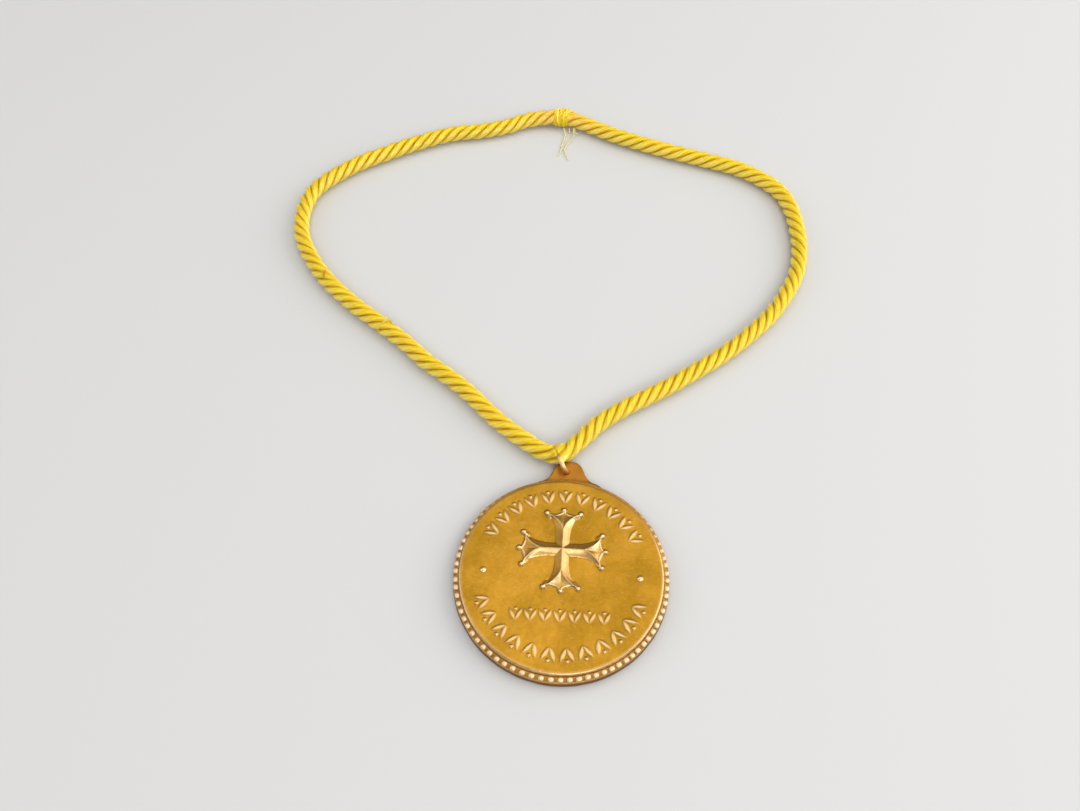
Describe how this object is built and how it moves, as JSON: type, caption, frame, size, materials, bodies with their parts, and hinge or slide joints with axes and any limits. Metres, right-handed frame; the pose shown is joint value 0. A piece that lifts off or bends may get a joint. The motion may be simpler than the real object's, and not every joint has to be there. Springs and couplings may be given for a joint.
{
  "type": "ceremonial medallion",
  "caption": "Round cast medallion with a raised cross, leaf sprigs and a beaded rim, on a jump ring and a closed twisted neck rope.",
  "frame": {"origin": "centre of the medallion's flat back, on the surface it lies on", "axes": "+Z out of the face, +Y from the disc's centre towards the lug and the neck rope, +X to the right seen from the front"},
  "size_m": [0.2517, 0.3073, 0.0096],
  "materials": {
    "backing_copper": "darkened copper with worn brighter edges",
    "face_gilt": "cast golden bronze, satin, with a mottled patina",
    "bead_gilt": "cast golden bronze, rubbed bright on the beads",
    "ring_gilt": "pale gilt wire",
    "rope_satin": "satin rayon rope in four strands",
    "whipping_thread": "bright yellow sewing thread, tightly wound"
  },
  "bodies": {
    "root": {"backing_disc": "backing_copper", "face_disc": "face_gilt", "bead_rim": "bead_gilt", "jump_ring": "ring_gilt", "neck_cord": "rope_satin", "neck_whipping": "whipping_thread"}
  },
  "joints": []
}
